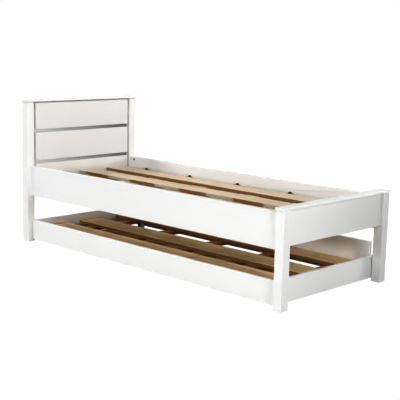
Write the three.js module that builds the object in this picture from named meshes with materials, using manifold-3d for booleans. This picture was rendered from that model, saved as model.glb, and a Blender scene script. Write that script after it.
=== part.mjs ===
// Single trundle bed: a slatted bed frame with a panelled headboard and a low
// footboard, and a slatted trundle on casters stored underneath.
// Units: millimetres. +X runs from the head to the foot, -Y is the side the
// trundle pulls out to, +Z is up. Origin: floor level, centre of the footprint.

import * as THREE from "three";
import { mergeVertices } from "three/addons/utils/BufferGeometryUtils.js";
import Module from "manifold-3d";

// ---------------------------------------------------------------- dimensions
const GAP = 0.3; // clearance kept between touching pieces

// bed frame
const BED_L = 2000; // outer face of head posts to outer face of foot posts
const BED_W = 848; // outer face to outer face across the posts
const POST = 49; // square post section
const POST_CHAMFER = 3;
const HEAD_TOP = 846; // top of the headboard cap
const FOOT_TOP = 482; // top of the footboard cap
const CAP_T = 12; // cap rail thickness
const CAP_OVER = 5; // cap rail overhang past the posts

// headboard panel: three wide boards with shadow gaps, on a thin backing
const HEAD_BOARD_T = 24;
const HEAD_FACE = 1.5; // how far the boards sit behind the posts' inner faces
const HEAD_BOARDS_Z = [
  ["headboard_board_lower", 300, 464.5],
  ["headboard_board_middle", 485, 650.5],
  ["headboard_board_upper", 670.5, HEAD_TOP - CAP_T - 6],
];
const HEAD_REVEAL = 15; // dark reveal between board ends and posts
const HEAD_BACK_T = 6;

// footboard panel
const FOOT_PANEL_Z0 = 302;
const FOOT_PANEL_T = 20;
const FOOT_PANEL_SET = 10; // behind the posts' outer faces

// side rails
const RAIL_TOP = 456;
const RAIL_BOT = 280;
const RAIL_T = 19;
const RAIL_SET = 25.5; // behind the posts' outer faces
const NUT_BORE_R = 7; // barrel-nut bore in the rails' inner faces
const NUT_BORE_DEPTH = 13;
const NUT_FROM_POST = 42;
const NUT_Z = [440, 300];

// slatted deck of the bed
const DECK_TOP = 406.5;
const BOARD_T = 18;
const BEARER_W = 60;
const BED_BEARER_H = 44; // bearers of the bed stand on edge
const BEARER_H = 22; // bearers of the trundle lie flat
const BEARER_PITCH = 392; // five bearers, the middle one at X = 0
const BED_BOARDS_Y = [
  ["bed_deck_board_1", 152, 274],
  ["bed_deck_board_2", -61, 61],
  ["bed_deck_board_3", -274, -152],
];
const DECK_SHORT = 36; // gap between the board ends and the posts
const SADDLE_R = 18; // rounded plastic saddle at each bearer end
const SADDLE_Z = 379; // centre of the saddle's rounded top
const SADDLE_T = 3;

// trundle
const TR_X0 = -934; // head-end outer face
const TR_X1 = 943; // foot-end outer face
const TR_Y = 398.5; // near and far outer faces, in line with the side rails
const TR_BOT = 16;
const TR_TOP = 133.5; // near, head-end and foot-end panels
const TR_FAR_TOP = 205; // taller far panel
const TR_T = 16; // panel thickness
const TR_FAR_T = 18;
const TR_DECK_TOP = 92;
const TR_BOARDS_Y = [
  ["trundle_deck_board_1", 232, 376],
  ["trundle_deck_board_2", -62, 86],
  ["trundle_deck_board_3", -306, -160],
];
const CLEAT = 22; // square cleat under the bearer ends

// casters
const WHEEL_R = 22;
const WHEEL_W = 18;
const AXLE_R = 4;
const AXLE_CLEAR = 0.08;
const CASTER_Y = 332;
const FORK_INNER = 21; // clear width between the fork cheeks
const FORK_T = 2.5;
const FORK_LEN = 34; // cheek length along the rolling direction
const PLATE_L = 50;

// ------------------------------------------------------------------ materials
const mat = (color, roughness, metalness) =>
  new THREE.MeshStandardMaterial({ color, roughness, metalness });
const paint = () => mat(0xf1f0ec, 0.38, 0.0);
const pine = () => mat(0xd2b07c, 0.6, 0.0);
const plastic = () => mat(0x1c1b1a, 0.5, 0.0);
const steel = () => mat(0xb4b6b8, 0.35, 0.9);
const tyre = () => mat(0x3a3b3d, 0.6, 0.0);

// ------------------------------------------------------------- solid helpers
const wasm = await Module();
wasm.setup();

const strip = (geometry) => {
  const g = geometry.index ? geometry.toNonIndexed() : geometry.clone();
  for (const name of Object.keys(g.attributes))
    if (name !== "position") g.deleteAttribute(name);
  return mergeVertices(g, 1e-4);
};
const toSolid = (geometry) => {
  const g = strip(geometry);
  return new wasm.Manifold(
    new wasm.Mesh({
      numProp: 3,
      vertProperties: new Float32Array(g.attributes.position.array),
      triVerts: new Uint32Array(g.index.array),
    }),
  );
};
const toGeometry = (solid) => {
  const m = solid.getMesh();
  const g = new THREE.BufferGeometry();
  const pos = new Float32Array(m.numVert * 3);
  for (let i = 0; i < m.numVert; i++)
    for (let k = 0; k < 3; k++) pos[3 * i + k] = m.vertProperties[m.numProp * i + k];
  g.setAttribute("position", new THREE.BufferAttribute(pos, 3));
  g.setIndex(new THREE.BufferAttribute(new Uint32Array(m.triVerts), 1));
  g.computeVertexNormals();
  return g;
};
const cut = (base, tools) => {
  let s = toSolid(base);
  for (const t of tools) s = s.subtract(toSolid(t));
  return toGeometry(s);
};
const join = (...pieces) => {
  let s = toSolid(pieces[0]);
  for (const p of pieces.slice(1)) s = s.add(toSolid(p));
  return toGeometry(s);
};
const box = (x0, x1, y0, y1, z0, z1) =>
  new THREE.BoxGeometry(x1 - x0, y1 - y0, z1 - z0).translate(
    (x0 + x1) / 2, (y0 + y1) / 2, (z0 + z1) / 2);

const root = new THREE.Group();
const bed = new THREE.Group();
const trundle = new THREE.Group();
root.add(bed, trundle);
const add = (group, name, geometry, material, x = 0, y = 0, z = 0) => {
  const mesh = new THREE.Mesh(geometry, material);
  mesh.name = name;
  mesh.position.set(x, y, z);
  group.add(mesh);
  return mesh;
};

// ------------------------------------------------------------------ bed frame
const HX = BED_L / 2;
const HY = BED_W / 2;

// square post with chamfered ends, standing on z = 0
const postGeometry = (height) => {
  const s = new THREE.Shape();
  const h = POST / 2;
  s.moveTo(-h, -h).lineTo(h, -h).lineTo(h, h).lineTo(-h, h).closePath();
  return new THREE.ExtrudeGeometry(s, {
    depth: height - 2 * POST_CHAMFER,
    bevelEnabled: true,
    bevelThickness: POST_CHAMFER,
    bevelSize: POST_CHAMFER,
    bevelOffset: -POST_CHAMFER,
    bevelSegments: 1,
    steps: 1,
  }).translate(0, 0, POST_CHAMFER);
};
const POST_X = HX - POST / 2;
const POST_Y = HY - POST / 2;
const HEAD_POST_H = HEAD_TOP - CAP_T - GAP;
const FOOT_POST_H = FOOT_TOP - CAP_T - GAP;
add(bed, "head_post_near", postGeometry(HEAD_POST_H), paint(), -POST_X, -POST_Y);
add(bed, "head_post_far", postGeometry(HEAD_POST_H), paint(), -POST_X, POST_Y);
add(bed, "foot_post_near", postGeometry(FOOT_POST_H), paint(), POST_X, -POST_Y);
add(bed, "foot_post_far", postGeometry(FOOT_POST_H), paint(), POST_X, POST_Y);

const capGeometry = () =>
  new THREE.BoxGeometry(POST + 2 * CAP_OVER, BED_W + 2 * CAP_OVER, CAP_T);
add(bed, "headboard_cap", capGeometry(), paint(), -POST_X, 0, HEAD_TOP - CAP_T / 2);
add(bed, "footboard_cap", capGeometry(), paint(), POST_X, 0, FOOT_TOP - CAP_T / 2);

// headboard: boards in front, thin backing behind them closing the shadow gaps
const HEAD_FRONT_X = -HX + POST - HEAD_FACE;
const HEAD_BACK_X = HEAD_FRONT_X - HEAD_BOARD_T;
const PANEL_Y = HY - POST - GAP;
for (const [name, z0, z1] of HEAD_BOARDS_Z)
  add(bed, name,
    box(HEAD_BACK_X, HEAD_FRONT_X, -PANEL_Y + HEAD_REVEAL, PANEL_Y - HEAD_REVEAL, z0, z1),
    paint());
add(bed, "headboard_backing",
  box(HEAD_BACK_X - GAP - HEAD_BACK_T, HEAD_BACK_X - GAP, -PANEL_Y, PANEL_Y,
    HEAD_BOARDS_Z[0][1], HEAD_TOP - CAP_T - GAP),
  paint());

// footboard
add(bed, "footboard_panel",
  box(HX - FOOT_PANEL_SET - FOOT_PANEL_T, HX - FOOT_PANEL_SET, -PANEL_Y, PANEL_Y,
    FOOT_PANEL_Z0, FOOT_TOP - CAP_T - GAP),
  paint());

// side rails with blind bores for the barrel nuts in their inner faces
const RAIL_OUT = HY - RAIL_SET;
const RAIL_IN = RAIL_OUT - RAIL_T;
const RAIL_END = HX - POST - GAP;
const boreAlongY = (x, z, y0, y1, r = NUT_BORE_R) =>
  new THREE.CylinderGeometry(r, r, y1 - y0, 32).translate(x, (y0 + y1) / 2, z);
for (const [name, side] of [["side_rail_near", -1], ["side_rail_far", 1]]) {
  const y0 = Math.min(side * RAIL_IN, side * RAIL_OUT);
  const y1 = Math.max(side * RAIL_IN, side * RAIL_OUT);
  const bores = [];
  for (const sx of [-1, 1])
    for (const z of NUT_Z) {
      const x = sx * (HX - POST - NUT_FROM_POST);
      const a = side * (RAIL_IN - 1);
      const b = side * (RAIL_IN + NUT_BORE_DEPTH);
      bores.push(boreAlongY(x, z, Math.min(a, b), Math.max(a, b)));
    }
  add(bed, name, cut(box(-RAIL_END, RAIL_END, y0, y1, RAIL_BOT, RAIL_TOP), bores), paint());
}

// cross bearers, each held by a rounded saddle on either rail
const BEARER_TOP = DECK_TOP - BOARD_T - GAP;
const BEARERS_X = [-2, -1, 0, 1, 2].map((i) => i * BEARER_PITCH);
const saddleGeometry = () => {
  // plate on the rail's inner face, rounded on top, with a shelf under the bearer
  const half = BEARER_W / 2 + 4;
  const under = BEARER_TOP - BED_BEARER_H - GAP - SADDLE_Z;
  const disc = new THREE.CylinderGeometry(SADDLE_R, SADDLE_R, SADDLE_T, 40);
  const web = box(-half, half, -SADDLE_T / 2, SADDLE_T / 2, under - SADDLE_T, -8);
  const shelf = box(-half, half, -24, 0, under - SADDLE_T, under);
  return join(disc, web, shelf);
};
BEARERS_X.forEach((x, i) => {
  const n = i + 1;
  const end = RAIL_IN - 2 * GAP - SADDLE_T;
  add(bed, `bed_bearer_${n}`,
    box(x - BEARER_W / 2, x + BEARER_W / 2, -end, end, BEARER_TOP - BED_BEARER_H, BEARER_TOP), pine());
  for (const [side, s] of [["near", -1], ["far", 1]]) {
    const g = saddleGeometry();
    if (s < 0) g.rotateZ(Math.PI);
    add(bed, `bed_bearer_saddle_${n}_${side}`, g, plastic(), x,
      s * (RAIL_IN - GAP - SADDLE_T / 2), SADDLE_Z);
  }
});
const DECK_END = HX - POST - DECK_SHORT;
for (const [name, y0, y1] of BED_BOARDS_Y)
  add(bed, name,
    box(-DECK_END, DECK_END, y0, y1, DECK_TOP - BOARD_T, DECK_TOP), pine());

// -------------------------------------------------------------------- trundle
add(trundle, "trundle_panel_near",
  box(TR_X0, TR_X1, -TR_Y, -TR_Y + TR_T, TR_BOT, TR_TOP), paint());
add(trundle, "trundle_panel_head",
  box(TR_X0, TR_X0 + TR_T, -TR_Y + TR_T + GAP, TR_Y, TR_BOT, TR_TOP), paint());
add(trundle, "trundle_panel_foot",
  box(TR_X1 - TR_T, TR_X1, -TR_Y + TR_T + GAP, TR_Y, TR_BOT, TR_TOP), paint());
add(trundle, "trundle_panel_far",
  box(TR_X0 + TR_T + GAP, TR_X1 - TR_T - GAP, TR_Y - TR_FAR_T, TR_Y, TR_BOT, TR_FAR_TOP), paint());

const TR_IN_NEAR = -TR_Y + TR_T;
const TR_IN_FAR = TR_Y - TR_FAR_T;
const TR_INX0 = TR_X0 + TR_T + GAP;
const TR_INX1 = TR_X1 - TR_T - GAP;
const TR_BEARER_TOP = TR_DECK_TOP - BOARD_T - GAP;
const TR_BEARER_BOT = TR_BEARER_TOP - BEARER_H;
add(trundle, "trundle_cleat_near",
  box(TR_INX0, TR_INX1, TR_IN_NEAR + GAP, TR_IN_NEAR + GAP + CLEAT,
    TR_BEARER_BOT - GAP - CLEAT, TR_BEARER_BOT - GAP), pine());
add(trundle, "trundle_cleat_far",
  box(TR_INX0, TR_INX1, TR_IN_FAR - GAP - CLEAT, TR_IN_FAR - GAP,
    TR_BEARER_BOT - GAP - CLEAT, TR_BEARER_BOT - GAP), pine());
const TR_MID = (TR_X0 + TR_X1) / 2;
const TR_BEARERS_X = [-2, -1, 0, 1, 2].map((i) => TR_MID + i * BEARER_PITCH);
TR_BEARERS_X.forEach((x, i) =>
  add(trundle, `trundle_bearer_${i + 1}`,
    box(x - BEARER_W / 2, x + BEARER_W / 2, TR_IN_NEAR + GAP, TR_IN_FAR - GAP,
      TR_BEARER_BOT, TR_BEARER_TOP), pine()));
for (const [name, y0, y1] of TR_BOARDS_Y)
  add(trundle, name,
    box(TR_INX0 + 2, TR_INX1 - 2, y0, y1, TR_DECK_TOP - BOARD_T, TR_DECK_TOP), pine());

// ------------------------------------------------------------- fixed casters
// wheel: solid of revolution about its axle, rounded tread and recessed hub
const wheelGeometry = () => {
  const b = AXLE_R + AXLE_CLEAR;
  const h = WHEEL_W / 2;
  const R = WHEEL_R;
  const pts = [
    [b, -h - 0.8], [8, -h - 0.8], [8.5, -h + 2], [R - 6, -h + 2], [R - 5, -h], [R - 2, -h],
    [R - 0.6, -h + 0.9], [R, -h + 2.8], [R, h - 2.8], [R - 0.6, h - 0.9], [R - 2, h],
    [R - 5, h], [R - 6, h - 2], [8.5, h - 2], [8, h + 0.8], [b, h + 0.8], [b, -h - 0.8],
  ].map(([r, t]) => new THREE.Vector2(r, t));
  return new THREE.LatheGeometry(pts, 36).rotateZ(-Math.PI / 2);
};
// fork: folded steel bracket, top plate with two cheeks drilled for the axle
const PLATE_Z = TR_BEARER_BOT - GAP; // top of the mounting plate
const forkGeometry = () => {
  const w = FORK_INNER / 2;
  const top = PLATE_Z - WHEEL_R; // relative to the axle height
  const plate = box(-BEARER_W / 2, BEARER_W / 2, -PLATE_L / 2, PLATE_L / 2, top - FORK_T, top);
  const cheek = (s) =>
    box(Math.min(s * w, s * (w + FORK_T)), Math.max(s * w, s * (w + FORK_T)),
      -FORK_LEN / 2, FORK_LEN / 2, -9, top - FORK_T + 0.5);
  const bore = new THREE.CylinderGeometry(AXLE_R + AXLE_CLEAR, AXLE_R + AXLE_CLEAR, 60, 36)
    .rotateZ(-Math.PI / 2);
  return toGeometry(
    toSolid(plate).add(toSolid(cheek(-1))).add(toSolid(cheek(1))).subtract(toSolid(bore)));
};
const axleGeometry = () =>
  new THREE.CylinderGeometry(AXLE_R, AXLE_R, FORK_INNER + 2 * FORK_T + 3, 36)
    .rotateZ(-Math.PI / 2);
for (const [end, x] of [["head", TR_BEARERS_X[0]], ["foot", TR_BEARERS_X[4]]])
  for (const [side, y] of [["near", -CASTER_Y], ["far", CASTER_Y]]) {
    const tag = `${end}_${side}`;
    add(trundle, `caster_fork_${tag}`, forkGeometry(), steel(), x, y, WHEEL_R);
    add(trundle, `caster_wheel_${tag}`, wheelGeometry(), tyre(), x, y, WHEEL_R);
    add(trundle, `caster_axle_${tag}`, axleGeometry(), steel(), x, y, WHEEL_R);
  }

export default root;
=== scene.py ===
import math

import bmesh
import bpy
from mathutils import Matrix, Vector


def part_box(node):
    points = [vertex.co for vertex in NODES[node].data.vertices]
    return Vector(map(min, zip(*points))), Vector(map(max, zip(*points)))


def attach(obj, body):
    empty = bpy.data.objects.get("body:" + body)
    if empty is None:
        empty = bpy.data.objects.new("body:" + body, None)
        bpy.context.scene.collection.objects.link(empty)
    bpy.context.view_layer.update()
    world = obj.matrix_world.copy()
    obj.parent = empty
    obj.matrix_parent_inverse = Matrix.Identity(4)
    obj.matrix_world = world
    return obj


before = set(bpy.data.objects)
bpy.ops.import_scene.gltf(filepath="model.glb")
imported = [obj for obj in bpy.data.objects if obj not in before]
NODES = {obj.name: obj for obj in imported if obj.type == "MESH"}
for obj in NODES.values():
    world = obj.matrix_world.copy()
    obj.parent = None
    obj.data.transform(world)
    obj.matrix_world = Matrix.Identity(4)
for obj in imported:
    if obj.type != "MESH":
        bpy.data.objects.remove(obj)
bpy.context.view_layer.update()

AMBIENT = 0.0
WALLS = 0.6
scene = bpy.context.scene
scene.view_settings.view_transform = "Standard"
scene.view_settings.look = "None"
scene.view_settings.exposure = 0.0
scene.view_settings.gamma = 0.6


# ------------------------------------------------------------------ camera
def make_camera():
    az, el, roll = math.radians(44.002), math.radians(9.886), math.radians(1.3147)
    fwd = Vector((-math.sin(az) * math.cos(el), math.cos(az) * math.cos(el), -math.sin(el)))
    right = fwd.cross(Vector((0, 0, 1))).normalized()
    up = right.cross(fwd)
    r2 = math.cos(roll) * right + math.sin(roll) * up
    u2 = -math.sin(roll) * right + math.cos(roll) * up
    m = Matrix((r2, u2, -fwd)).transposed().to_4x4()
    m.translation = Vector((3.5363, -3.5957, 1.2181))
    data = bpy.data.cameras.new("camera")
    data.sensor_fit = "HORIZONTAL"
    data.sensor_width = 36.0
    data.lens = 82.96
    data.clip_start, data.clip_end = 0.05, 200.0
    cam = bpy.data.objects.new("camera", data)
    scene.collection.objects.link(cam)
    cam.matrix_world = m
    scene.camera = cam


make_camera()


# ------------------------------------------------------------------ node helper
class Tree:
    """A small helper to build node materials: t.node(type, inputs, settings) and t.link."""

    def __init__(self, name):
        self.mat = bpy.data.materials.new(name)
        self.mat.use_nodes = True
        self.nt = self.mat.node_tree
        self.nt.nodes.clear()
        self.out = self.node("ShaderNodeOutputMaterial")
        self.bsdf = self.node("ShaderNodeBsdfPrincipled")
        self.nt.links.new(self.bsdf.outputs[0], self.out.inputs[0])

    def node(self, kind, inputs=None, **settings):
        n = self.nt.nodes.new(kind)
        for k, v in settings.items():
            setattr(n, k, v)
        for k, v in (inputs or {}).items():
            self.put(n.inputs[k], v)
        return n

    def put(self, socket, v):
        if isinstance(v, bpy.types.NodeSocket):
            self.nt.links.new(v, socket)
        elif isinstance(v, bpy.types.Node):
            self.nt.links.new(v.outputs[0], socket)
        else:
            socket.default_value = v

    def math(self, op, a, b=None, c=None, clamp=False):
        n = self.node("ShaderNodeMath", operation=op, use_clamp=clamp)
        self.put(n.inputs[0], a)
        if b is not None:
            self.put(n.inputs[1], b)
        if c is not None:
            self.put(n.inputs[2], c)
        return n.outputs[0]

    def mix(self, fac, a, b, blend="MIX"):
        n = self.node("ShaderNodeMix", data_type="RGBA", blend_type=blend)
        self.put(n.inputs["Factor"], fac)
        self.put(n.inputs[6], a)
        self.put(n.inputs[7], b)
        return n.outputs[2]

    def ramp(self, fac, stops, interp="LINEAR"):
        n = self.node("ShaderNodeValToRGB")
        n.color_ramp.interpolation = interp
        els = n.color_ramp.elements
        while len(els) < len(stops):
            els.new(0.5)
        for e, (p, c) in zip(els, stops):
            e.position = p
            e.color = (*c, 1.0) if len(c) == 3 else c
        self.put(n.inputs[0], fac)
        return n

    def range(self, v, lo, hi, to_lo, to_hi):
        n = self.node("ShaderNodeMapRange", clamp=True)
        self.put(n.inputs[0], v)
        for i, x in enumerate((lo, hi, to_lo, to_hi)):
            self.put(n.inputs[i + 1], x)
        return n.outputs[0]

    def coords(self, scale=(1, 1, 1), offset=(0, 0, 0), axis="X"):
        """Object coordinates with the grain direction turned onto local X."""
        tc = self.node("ShaderNodeTexCoord")
        rot = {"X": (0, 0, 0), "Y": (0, 0, math.radians(-90)), "Z": (0, math.radians(90), 0)}[axis]
        turn = self.node("ShaderNodeMapping", {"Vector": tc.outputs["Object"], "Rotation": rot})
        m = self.node("ShaderNodeMapping", {"Vector": turn.outputs[0], "Scale": scale, "Location": offset})
        return m.outputs[0]

    def noise(self, vec, scale, detail=3.0, rough=0.5, distort=0.0):
        return self.node("ShaderNodeTexNoise",
                         {"Vector": vec, "Scale": scale, "Detail": detail, "Roughness": rough,
                          "Distortion": distort}).outputs[0]


# ------------------------------------------------------------------ materials
def paint_material(name, axis="X", tint=(0.0, 0.0, 0.0), edge=False, painted_groove_shade=None, painted_shade_k=1.0, painted_falloff=None):
    """Satin white lacquer over wood: faint grain and roller texture, soft colour drift; optional painted shade: an
    overall darkening factor, a darkening towards the far side and dark grooves.
    """
    t = Tree(name)
    # painted shade: the darkening factor scales the whole base colour
    base = tuple(v * painted_shade_k for v in (0.900 + tint[0], 0.902 + tint[1], 0.898 + tint[2]))
    drift = t.noise(t.coords((0.6, 1.4, 1.4), (3.1, 0.7, 1.9), axis), 2.2, 3.0, 0.55)
    lap = t.noise(t.coords((1.0, 22.0, 22.0), (0.3, 0.1, 0.8), axis), 3.0, 4.0, 0.6)
    warm = tuple(min(1.0, c * k) for c, k in zip(base, (1.001, 0.999, 0.993)))
    cool = tuple(min(1.0, c * k) for c, k in zip(base, (0.996, 1.0, 1.003)))
    col = t.mix(t.range(drift, 0.35, 0.65, 0.0, 1.0), (*warm, 1), (*cool, 1))
    shade = t.range(lap, 0.3, 0.7, 0.991, 1.0)
    grey = t.node("ShaderNodeCombineColor", {0: shade, 1: shade, 2: shade})
    col = t.mix(1.0, col, grey.outputs[0], "MULTIPLY")
    if painted_falloff:
        # painted shade: the paint is darkened towards the far side, standing in for the light falling off
        y0, y1, k0, k1 = painted_falloff
        along = t.node("ShaderNodeSeparateXYZ", {0: t.node("ShaderNodeTexCoord").outputs["Object"]}).outputs[1]
        k = t.range(along, y0, y1, k0, k1)
        col = t.mix(1.0, col, t.node("ShaderNodeCombineColor", {0: k, 1: k, 2: k}).outputs[0], "MULTIPLY")
    if painted_groove_shade:
        # painted shade: the grooves between the headboard boards are coloured dark, darker towards the far post
        xyz = t.node("ShaderNodeSeparateXYZ", {0: t.node("ShaderNodeTexCoord").outputs["Object"]})
        strip = None
        for z0, z1 in painted_groove_shade:
            painted_shade_mask = t.math("MULTIPLY", t.math("GREATER_THAN", xyz.outputs[2], z0),
                            t.math("LESS_THAN", xyz.outputs[2], z1))
            strip = painted_shade_mask if strip is None else t.math("ADD", strip, painted_shade_mask)
        depth = t.range(xyz.outputs[1], -0.36, 0.30, 0.10, 0.76)
        col = t.mix(t.math("MULTIPLY", strip, depth), col, (0.10, 0.095, 0.09, 1))
    t.put(t.bsdf.inputs["Base Color"], col)
    smudge = t.noise(t.coords((1, 1, 1), (5.0, 2.0, 0.4), axis), 9.0, 5.0, 0.62)
    t.put(t.bsdf.inputs["Roughness"], t.range(smudge, 0.3, 0.7, 0.30 if edge else 0.34, 0.40 if edge else 0.46))
    t.bsdf.inputs["Specular IOR Level"].default_value = 0.5
    t.bsdf.inputs["Coat Weight"].default_value = 0.12
    t.bsdf.inputs["Coat Roughness"].default_value = 0.22
    peel = t.noise(t.coords((1, 1, 1), (0, 0, 0), axis), 420.0, 2.0, 0.5)
    pores = t.noise(t.coords((1.0, 34.0, 34.0), (1.0, 2.0, 3.0), axis), 26.0, 3.0, 0.6)
    h = t.math("ADD", t.math("MULTIPLY", peel, 0.45), t.math("MULTIPLY", pores, 0.55))
    bump = t.node("ShaderNodeBump", {"Strength": 0.10, "Distance": 0.0006, "Height": h})
    t.put(t.bsdf.inputs["Normal"], bump)
    return t.mat


def pine_material(name, axis="X", seed=0.0, tint=(1, 1, 1), dark=1.0, knots=1.0, pale=None):
    """Planed, clear-sealed pine: growth rings round a pith beside the board, fibres, small knots."""
    t = Tree(name)
    s = seed
    # pith well off the board, so that faces show long flat-sawn figures
    pith = (0.0, 0.09 + 0.05 * math.sin(3.1 * s), 0.055 + 0.03 * math.cos(2.3 * s))
    vec = t.coords((0.16, 1.0, 1.0), (0.37 * s, pith[1], pith[2]), axis)
    wob = t.node("ShaderNodeTexNoise", {"Vector": t.coords((1.3, 5.0, 5.0), (s, s * 1.7, s * 0.3), axis),
                                        "Scale": 1.6, "Detail": 2.0, "Roughness": 0.5})
    off = t.node("ShaderNodeVectorMath", {0: wob.outputs[1], 1: (0.5, 0.5, 0.5)}, operation="SUBTRACT")
    off2 = t.node("ShaderNodeVectorMath", {0: off.outputs[0], 1: (0.0, 0.05, 0.05)}, operation="MULTIPLY")
    warped = t.node("ShaderNodeVectorMath", {0: vec, 1: off2.outputs[0]}, operation="ADD")
    rings = t.node("ShaderNodeTexWave", {"Vector": warped.outputs[0], "Scale": 34.0, "Distortion": 1.4,
                                         "Detail": 2.0, "Detail Scale": 1.2, "Detail Roughness": 0.5},
                   wave_type="RINGS", rings_direction="X", wave_profile="SAW")
    fibre = t.noise(t.coords((3.0, 240.0, 240.0), (s * 2.0, s, s * 0.5), axis), 2.6, 3.0, 0.6)
    streak = t.noise(t.coords((0.8, 16.0, 16.0), (s * 1.3, s * 0.2, s), axis), 2.2, 3.0, 0.55)
    early, mid, late = (0.800, 0.700, 0.530), (0.745, 0.630, 0.450), (0.600, 0.455, 0.275)
    pal = [tuple(c * k * dark for c, k in zip(v, tint)) for v in (early, mid, late)]
    col = t.ramp(rings.outputs[1], [(0.0, pal[0]), (0.55, pal[1]), (0.88, pal[2]), (1.0, pal[0])]).outputs[0]
    soft = t.mix(0.45, col, (*pal[0], 1.0))
    f = t.range(fibre, 0.3, 0.7, 0.90, 1.04)
    g = t.range(streak, 0.3, 0.7, 0.88, 1.08)
    fg = t.math("MULTIPLY", f, g)
    grey = t.node("ShaderNodeCombineColor", {0: fg, 1: t.math("POWER", fg, 1.25), 2: t.math("POWER", fg, 1.6)})
    col = t.mix(1.0, soft, grey.outputs[0], "MULTIPLY")
    # knots: sparse cells, a dark core with a halo
    kv = t.coords((2.6, 9.0, 9.0), (s * 5.1, s * 3.3, s * 1.1), axis)
    vor = t.node("ShaderNodeTexVoronoi", {"Vector": kv, "Scale": 0.85, "Randomness": 1.0}, feature="F1")
    pick = t.node("ShaderNodeSeparateColor", {0: vor.outputs["Color"]})
    keep = t.math("GREATER_THAN", pick.outputs[0], 1.0 - 0.22 * knots)
    ragged = t.math("ADD", vor.outputs["Distance"], t.math("MULTIPLY", t.math("SUBTRACT", streak, 0.5), 0.05))
    core = t.math("MULTIPLY", t.range(ragged, 0.035, 0.075, 1.0, 0.0), keep)
    halo = t.math("MULTIPLY", t.range(ragged, 0.05, 0.17, 0.55, 0.0), keep)
    col = t.mix(halo, col, (0.50 * dark, 0.31 * dark, 0.14 * dark, 1))
    col = t.mix(core, col, (0.16 * dark, 0.07 * dark, 0.026 * dark, 1))
    if pale:
        # painted light: lighter lengths of the side face between the bearers, standing in for light reaching past
        # them
        centre, pitch, half = pale
        along = t.node("ShaderNodeSeparateXYZ", {0: t.node("ShaderNodeTexCoord").outputs["Object"]}).outputs[0]
        m = t.math("MODULO", t.math("ADD", along, 10.5 * pitch - centre), pitch)
        d = t.math("ABSOLUTE", t.math("SUBTRACT", m, 0.5 * pitch))
        col = t.mix(t.range(d, half - 0.012, half + 0.012, 0.0, 0.85), col, (0.72, 0.68, 0.62, 1))
    t.put(t.bsdf.inputs["Base Color"], col)
    rough = t.range(t.math("ADD", t.math("MULTIPLY", rings.outputs[1], 0.5), t.math("MULTIPLY", fibre, 0.5)),
                    0.2, 0.8, 0.44, 0.60)
    t.put(t.bsdf.inputs["Roughness"], rough)
    t.bsdf.inputs["Specular IOR Level"].default_value = 0.4
    h = t.math("ADD", t.math("MULTIPLY", rings.outputs[1], 0.35), t.math("MULTIPLY", fibre, 0.65))
    h = t.math("SUBTRACT", h, t.math("MULTIPLY", core, 0.5))
    bump = t.node("ShaderNodeBump", {"Strength": 0.22, "Distance": 0.0005, "Height": h})
    t.put(t.bsdf.inputs["Normal"], bump)
    return t.mat


def plastic_material(name, colour=(0.018, 0.018, 0.019), rough=0.45):
    t = Tree(name)
    v = t.noise(t.coords((1, 1, 1)), 60.0, 4.0, 0.6)
    lo = tuple(c * 0.8 for c in colour)
    hi = tuple(c * 1.25 for c in colour)
    t.put(t.bsdf.inputs["Base Color"], t.mix(t.range(v, 0.3, 0.7, 0.0, 1.0), (*lo, 1), (*hi, 1)))
    t.put(t.bsdf.inputs["Roughness"], t.range(v, 0.3, 0.7, rough - 0.06, rough + 0.1))
    grain = t.noise(t.coords((1, 1, 1)), 1600.0, 2.0, 0.5)
    t.put(t.bsdf.inputs["Normal"], t.node("ShaderNodeBump", {"Strength": 0.12, "Distance": 0.0003, "Height": grain}))
    return t.mat


def steel_material(name, colour=(0.60, 0.61, 0.62), rough=0.30, axis="X"):
    t = Tree(name)
    v = t.noise(t.coords((1, 1, 1)), 35.0, 5.0, 0.65)
    spangle = t.node("ShaderNodeTexVoronoi", {"Vector": t.coords((1, 1, 1)), "Scale": 160.0}, feature="F1")
    sp = t.node("ShaderNodeSeparateColor", {0: spangle.outputs["Color"]})
    k = t.math("ADD", t.range(v, 0.3, 0.7, 0.86, 1.0), t.math("MULTIPLY", sp.outputs[0], 0.05))
    grey = t.node("ShaderNodeCombineColor", {0: k, 1: k, 2: k})
    t.put(t.bsdf.inputs["Base Color"], t.mix(1.0, (*colour, 1), grey.outputs[0], "MULTIPLY"))
    t.bsdf.inputs["Metallic"].default_value = 1.0
    t.put(t.bsdf.inputs["Roughness"], t.range(v, 0.3, 0.7, rough - 0.05, rough + 0.14))
    br = t.noise(t.coords((4, 220, 220), (0, 0, 0), axis), 6.0, 3.0, 0.6)
    t.put(t.bsdf.inputs["Normal"], t.node("ShaderNodeBump", {"Strength": 0.10, "Distance": 0.0003, "Height": br}))
    return t.mat


def rubber_material(name):
    t = Tree(name)
    v = t.noise(t.coords((1, 1, 1)), 45.0, 5.0, 0.65)
    t.put(t.bsdf.inputs["Base Color"],
          t.mix(t.range(v, 0.35, 0.7, 0.0, 1.0), (0.030, 0.030, 0.032, 1), (0.060, 0.058, 0.056, 1)))
    t.put(t.bsdf.inputs["Roughness"], t.range(v, 0.3, 0.7, 0.52, 0.74))
    g = t.noise(t.coords((1, 1, 1)), 900.0, 3.0, 0.6)
    t.put(t.bsdf.inputs["Normal"], t.node("ShaderNodeBump", {"Strength": 0.2, "Distance": 0.0004, "Height": g}))
    return t.mat


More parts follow.
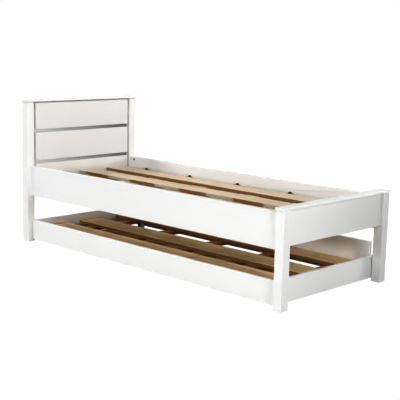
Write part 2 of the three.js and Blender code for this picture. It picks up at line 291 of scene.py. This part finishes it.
# ------------------------------------------------------------------ dressing the CAD nodes
def dress(node, mats, width, segments=3, angle=35, bevel_slot=1):
    o = NODES[node]
    o.data.materials.clear()
    for m in mats:
        o.data.materials.append(m)
    for p in o.data.polygons:
        p.material_index = 0
    if width:
        w = o.modifiers.new("weld", "WELD")
        w.merge_threshold = 1e-5
        b = o.modifiers.new("eased_edges", "BEVEL")
        b.width = width
        b.segments = segments
        b.limit_method = "ANGLE"
        b.angle_limit = math.radians(angle)
        b.harden_normals = False
        b.use_clamp_overlap = True
        if len(mats) > 1:
            b.material = bevel_slot
        n = o.modifiers.new("normals", "WEIGHTED_NORMAL")
        n.keep_sharp = False
        n.weight = 80
    for p in o.data.polygons:
        p.use_smooth = True


def paint_side_shade(node):
    """The long side faces of a deck board use the second material slot, a darker pine copy that paints in the shade
    they sit in.
    """
    for p in NODES[node].data.polygons:
        if abs(p.normal.y) > 0.9:
            p.material_index = 1


PAINT_AXIS = {"head_post": "Z", "foot_post": "Z", "headboard": "Y", "footboard": "Y",
              "side_rail": "X", "trundle_panel_near": "X", "trundle_panel_far": "X",
              "trundle_panel_head": "Y", "trundle_panel_foot": "Y"}
paints = {a: (paint_material("paint_" + a, a), paint_material("paint_edge_" + a, a, (0.01, 0.008, 0.0), True))
          for a in "XYZ"}
black = plastic_material("saddle_black")
fork_steel = steel_material("zinc_plate", axis="Y")
axle_steel = steel_material("bright_steel", (0.66, 0.66, 0.66), 0.24)
tyre = rubber_material("wheel_rubber_mat")

PINE = {
    "bed_deck_board_1": dict(seed=1.3, tint=(0.95, 0.965, 1.01)),
    "bed_deck_board_2": dict(seed=2.9, tint=(0.98, 0.98, 1.01)),
    "bed_deck_board_3": dict(seed=4.4, tint=(0.97, 0.98, 1.01)),
    # painted light and shade: the trundle boards are tinted darker and warmer for the bed's shadow, the third board
    # lifted brighter
    "trundle_deck_board_1": dict(seed=7.7, tint=(0.86, 0.76, 0.60)),
    "trundle_deck_board_2": dict(seed=9.2, tint=(0.96, 0.89, 0.70)),
    "trundle_deck_board_3": dict(seed=10.8, tint=(1.10, 1.00, 0.84)),
}
for name in sorted(NODES):
    if name.startswith("caster_wheel"):
        dress(name, [tyre], 0.0005, 2, 30)
    elif name.startswith("caster_axle"):
        dress(name, [axle_steel], 0.0006, 2, 40)
    elif name.startswith("caster_fork"):
        dress(name, [fork_steel], 0.0007, 2, 40)
    elif "saddle" in name:
        dress(name, [black], 0.0008, 2, 40)
    elif name in PINE:
        kw = PINE[name]
        # painted shade: the side faces get a darker, browner copy of the board's pine
        side = dict(kw, tint=(0.50, 0.36, 0.24) if name.startswith("bed") else (0.46, 0.30, 0.17))
        # painted light: board 2's shaded side face is lightened between the bearers
        if name == "bed_deck_board_2":
            side["pale"] = (0.060, 0.405, 0.105)
        dress(name, [pine_material("pine_" + name, "X", **kw),
                     pine_material("pine_shaded_side_" + name, "X", **side)], 0.0016, 3, bevel_slot=0)
        paint_side_shade(name)
    elif "bearer" in name:
        k = 20.0 + 1.7 * int(name[-1]) + (11.0 if name.startswith("trundle") else 0.0)
        # painted shade: the bearers are tinted dark red-brown for the shade they lie in under the decks
        dress(name, [pine_material("pine_" + name, "Y", seed=k, tint=(0.56, 0.34, 0.21))], 0.0018, 2)
    elif "cleat" in name:
        dress(name, [pine_material("pine_" + name, "X", seed=41.0 + len(name))], 0.0015, 2)
    elif name == "headboard_backing":
        strips = []
        for under, over in (("lower", "middle"), ("middle", "upper")):
            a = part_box("headboard_board_" + under)[1][2]
            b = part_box("headboard_board_" + over)[0][2]
            strips.append((a - 0.004, b + 0.004))
        # the backing's front faces take the copy with painted shade in the grooves
        dress(name, [paints["Y"][0], paint_material("paint_backing_groove_shade", "Y", painted_groove_shade=strips)], 0.001, 2, bevel_slot=0)
        for p in NODES[name].data.polygons:
            if p.normal.x > 0.9:
                p.material_index = 1
    else:
        axis = next(a for k, a in PAINT_AXIS.items() if name.startswith(k))
        slim = name.endswith("_cap")
        # painted light and shade per part: the far foot post and the upper and middle headboard boards are darkened
        # as painted shade, the footboard panel darkens towards the far side as a painted light falloff, the
        # trundle's foot panel is brightened and darkens towards the far side, and the far rail and middle headboard
        # board are tinted brighter or cooler as painted light
        painted_light_by_part = {
            "foot_post_far": dict(painted_shade_k=0.79),
            "footboard_panel": dict(painted_falloff=(-0.37, 0.37, 1.01, 0.75)),
            "trundle_panel_foot": dict(painted_shade_k=1.02, painted_falloff=(-0.39, 0.39, 1.03, 0.86)),
            "headboard_board_upper": dict(painted_shade_k=0.90),
            "headboard_board_middle": dict(painted_shade_k=0.945, tint=(0.0, 0.0, 0.012)),
            "side_rail_far": dict(tint=(0.055, 0.062, 0.074)),
        }.get(name)
        if painted_light_by_part:
            pair = [paint_material("paint_" + name, axis, **painted_light_by_part),
                    paint_material("paint_edge_" + name, axis, edge=True, **painted_light_by_part)]
        else:
            pair = list(paints[axis])
        dress(name, pair, 0.0022 if slim else 0.0016, 3)


# ------------------------------------------------------------------ small fittings
def slotted_disc(name, centre, normal, radius, depth, slot_w, mat, body):
    """A round head with a driver slot and an eased rim; `centre` is the middle of its outer face."""
    bm = bmesh.new()
    bmesh.ops.create_cone(bm, cap_ends=True, segments=28, radius1=radius, radius2=radius * 0.94, depth=depth)
    bmesh.ops.translate(bm, verts=bm.verts, vec=(0, 0, -depth / 2))
    me = bpy.data.meshes.new(name)
    bm.to_mesh(me)
    bm.free()
    tool = bmesh.new()
    bmesh.ops.create_cube(tool, size=1.0)
    bmesh.ops.scale(tool, verts=tool.verts, vec=(radius * 2.4, slot_w, depth * 0.7))
    tm = bpy.data.meshes.new(name + "_cutter")
    tool.to_mesh(tm)
    tool.free()
    o = bpy.data.objects.new(name, me)
    cutter = bpy.data.objects.new(name + "_cutter", tm)
    scene.collection.objects.link(o)
    scene.collection.objects.link(cutter)
    m = o.modifiers.new("driver_slot", "BOOLEAN")
    m.object = cutter
    m.operation = "DIFFERENCE"
    m.solver = "EXACT"
    bpy.context.view_layer.update()
    done = bpy.data.meshes.new_from_object(o.evaluated_get(bpy.context.evaluated_depsgraph_get()))
    o.modifiers.clear()
    o.data = done
    bpy.data.objects.remove(cutter)
    bpy.data.meshes.remove(tm)
    o.data.materials.clear()
    o.data.materials.append(mat)
    o.location = centre
    o.rotation_mode = "QUATERNION"
    o.rotation_quaternion = Vector(normal).to_track_quat("Z", "Y")
    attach(o, body)
    return o


# barrel nuts in the rails' blind bores, 42 mm from each post, 16 mm below the top edge and 20 mm up
nut_dark = steel_material("nut_burnished", (0.040, 0.038, 0.036), 0.42)
for side, s in (("near", -1), ("far", 1)):
    lo_r, hi_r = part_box("side_rail_" + side)
    inner = lo_r[1] if s > 0 else hi_r[1]
    for end, x in (("head", lo_r[0] + 0.0417), ("foot", hi_r[0] - 0.0417)):
        for level, z in (("upper", hi_r[2] - 0.016), ("lower", lo_r[2] + 0.020)):
            slotted_disc(f"barrel_nut_{end}_{side}_{level}", (x, inner + s * 0.0012, z), (0, -s, 0),
                         0.0066, 0.008, 0.0016, nut_dark, "bed")


# ------------------------------------------------------------------ floor, world, lights
def make_floor():
    """Pale floor: pure white to the camera round the bed; beneath it a painted shadow, a brown floor colour in a
    fixed rectangle under the bed, kept where ambient occlusion finds parts overhead.
    """
    bm = bmesh.new()
    bmesh.ops.create_grid(bm, x_segments=2, y_segments=2, size=30.0)
    me = bpy.data.meshes.new("floor")
    bm.to_mesh(me)
    bm.free()
    o = bpy.data.objects.new("floor", me)
    o.location = (0, 0, -0.0005)
    scene.collection.objects.link(o)
    t = Tree("floor_white_painted_shadow")
    t.bsdf.inputs["Roughness"].default_value = 0.9
    t.bsdf.inputs["Specular IOR Level"].default_value = 0.1
    open_sky = t.node("ShaderNodeAmbientOcclusion", {"Distance": 0.30}, samples=12)
    xyz = t.node("ShaderNodeSeparateXYZ", {0: t.node("ShaderNodeTexCoord").outputs["Object"]})
    x, y = xyz.outputs[0], xyz.outputs[1]
    ends = t.math("MULTIPLY", t.range(x, 0.86, 0.90, 1.0, 0.0), t.range(x, -0.95, -0.93, 0.0, 1.0))
    under = t.math("MULTIPLY", ends,
                   t.math("MULTIPLY", t.range(y, -0.36, -0.26, 0.0, 1.0), t.range(y, 0.375, 0.395, 1.0, 0.0)))
    painted_shade_mask = t.math("MULTIPLY", under, t.range(open_sky.outputs["AO"], 0.82, 0.94, 1.0, 0.0))
    v = t.noise(t.coords((1, 1, 1)), 0.6, 2.0, 0.5)
    pale = t.mix(v, (0.80, 0.80, 0.80, 1), (0.82, 0.82, 0.82, 1))
    # painted shadow: inside the rectangle under the bed the floor takes a dark brown colour, only where parts stand
    # overhead
    t.put(t.bsdf.inputs["Base Color"], t.mix(painted_shade_mask, pale, (0.52, 0.36, 0.21, 1)))
    glow = t.node("ShaderNodeEmission", {"Color": (1, 1, 1, 1), "Strength": 1.03})
    ray = t.node("ShaderNodeLightPath")
    fac = t.math("MULTIPLY", ray.outputs["Is Camera Ray"], t.math("SUBTRACT", 1.0, painted_shade_mask))
    both = t.node("ShaderNodeMixShader", {0: fac, 1: t.bsdf.outputs[0], 2: glow.outputs[0]})
    t.nt.links.new(both.outputs[0], t.out.inputs[0])
    me.materials.append(t.mat)
    return t


floor_tree = make_floor()

world = bpy.data.worlds.new("studio")
scene.world = world
world.use_nodes = True
wn = world.node_tree
bg = wn.nodes["Background"]
bg.inputs[0].default_value = (1, 1, 1, 1)
bg.inputs[1].default_value = AMBIENT
backdrop = wn.nodes.new("ShaderNodeBackground")
backdrop.inputs[0].default_value = (1, 1, 1, 1)
backdrop.inputs[1].default_value = 1.03
walls = wn.nodes.new("ShaderNodeBackground")
walls.inputs[0].default_value = (1, 1, 1, 1)
walls.inputs[1].default_value = WALLS
seen = wn.nodes.new("ShaderNodeLightPath")
split = wn.nodes.new("ShaderNodeMixShader")
wn.links.new(seen.outputs["Is Camera Ray"], split.inputs[0])
gloss = wn.nodes.new("ShaderNodeMixShader")
wn.links.new(seen.outputs["Is Glossy Ray"], gloss.inputs[0])
wn.links.new(bg.outputs[0], gloss.inputs[1])
wn.links.new(walls.outputs[0], gloss.inputs[2])
wn.links.new(gloss.outputs[0], split.inputs[1])
wn.links.new(backdrop.outputs[0], split.inputs[2])
wn.links.new(split.outputs[0], wn.nodes["World Output"].inputs[0])


def area(name, loc, aim, size, power, colour=(1, 1, 1), spread=180.0):
    d = bpy.data.lights.new(name, "AREA")
    d.shape = "RECTANGLE"
    d.size, d.size_y = size
    d.energy = power
    d.color = colour
    d.spread = math.radians(spread)
    o = bpy.data.objects.new(name, d)
    o.location = loc
    o.rotation_mode = "QUATERNION"
    o.rotation_quaternion = (Vector(aim) - Vector(loc)).to_track_quat("-Z", "Y")
    scene.collection.objects.link(o)
    return o


def dome(name, az, el, dist, size, power, aim=(0.1, 0, 0.3)):
    """A square soft box: azimuth from -Y towards +X and elevation in degrees, distance in metres."""
    a, e = math.radians(az), math.radians(el)
    d = Vector((math.sin(a) * math.cos(e), -math.cos(a) * math.cos(e), math.sin(e)))
    area(name, tuple(Vector(aim) + d * dist), aim, (size, size), power)


LIGHTS = [
    ("foot_mid", 65, 25, 6.0, 1.5, 86.0),
    ("foot_low", 65, 9, 6.0, 0.5, 24.0),
    ("foot_side", 90, 15, 4.0, 1.2, 5.0),
    ("head_soft", -60, 40, 4.0, 1.2, 68.9),
    ("head_mid", -35, 25, 6.0, 1.5, 18.9),
    ("near_low", 0, 9, 6.0, 0.5, 29.0),
    ("near_mid", 0, 25, 6.0, 1.5, 22.0),
    ("corner_mid", 40, 25, 6.0, 1.5, 28.0),
    ("back_mid", 180, 40, 4.0, 1.2, 42.5),
    ("rear_side", 180, 8, 5.0, 2.0, 34.0),
    ("rear_head", -96, 8, 5.0, 2.0, 34.0),
]
for row in LIGHTS:
    dome(*row)
area("over_middle", (0, 0, 3.0), (0, 0, 0), (1, 1), 22.9)
area("far_corner", (3.5, 3.5, 1.5), (0, 0, 0.4), (2, 2), 67.8)
area("lamp_front", (1.383, -3.4, 0.754), (0.1, 0, 0.3), (0.15, 0.15), 14.5)
area("lamp_soft", (1.38, -3.4, 0.754), (0.1, 0, 0.3), (0.7, 0.7), 5.8)
